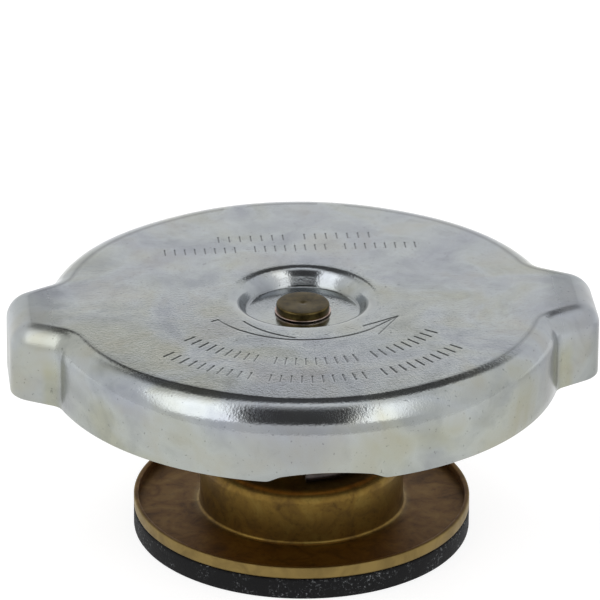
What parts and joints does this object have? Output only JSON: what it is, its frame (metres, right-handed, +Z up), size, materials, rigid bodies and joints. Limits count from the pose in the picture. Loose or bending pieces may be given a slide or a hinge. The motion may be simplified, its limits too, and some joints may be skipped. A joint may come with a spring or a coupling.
{
  "type": "radiator cap",
  "caption": "Two-eared pressed steel radiator cap with a spring-loaded brass valve carrier, a rubber seat seal and a vacuum valve.",
  "frame": {"origin": "centre of the seal ring's underside, on the cap's axis", "axes": "+Z up along the cap's axis towards the rivet head, +X along the two ears, bayonet hooks at -Y and +Y"},
  "size_m": [0.073, 0.064, 0.0313],
  "materials": {
    "zinc_plated_steel": "satin zinc plate",
    "rivet_brass": "tarnished",
    "copper": "satin",
    "friction_washer_brass": "satin",
    "phosphor_bronze": "rolled satin",
    "black_rubber": "matt moulded",
    "plain_steel": "rolled",
    "guide_brass": "drawn",
    "spring_steel": "drawn wire",
    "drawn_brass": "drawn and tarnished",
    "turned_brass": "turned"
  },
  "bodies": {
    "shell": {"outer_shell": "zinc_plated_steel"},
    "guide": {"centre_rivet": "rivet_brass", "rivet_washer": "copper", "friction_washer": "friction_washer_brass", "spring_disc": "phosphor_bronze", "top_gasket": "black_rubber", "spring_seat": "plain_steel", "guide_tube": "guide_brass", "tail_washer": "plain_steel", "pressure_spring": "spring_steel"},
    "carrier": {"valve_carrier": "drawn_brass", "seal_ring": "black_rubber", "seal_plate": "drawn_brass", "vacuum_spring": "spring_steel"},
    "vacuum": {"vacuum_valve": "turned_brass", "vacuum_seal": "black_rubber", "spring_cup": "turned_brass"}
  },
  "joints": [
    {"name": "cap_swivel", "type": "hinge", "parent": "shell", "child": "guide", "pos_m": [0, 0, 0.0283], "axis": [0, 0, 1], "continuous": true},
    {"name": "pressure_lift", "type": "slide", "parent": "guide", "child": "carrier", "axis": [0, 0, 1], "range_m": [0, 0.004], "stiffness_N_per_m": 5700, "springref_m": -0.006, "deforming": ["pressure_spring"]},
    {"name": "vacuum_open", "type": "slide", "parent": "carrier", "child": "vacuum", "axis": [0, 0, -1], "range_m": [0, 0.0015], "stiffness_N_per_m": 150, "springref_m": -0.001, "deforming": ["vacuum_spring"]}
  ]
}
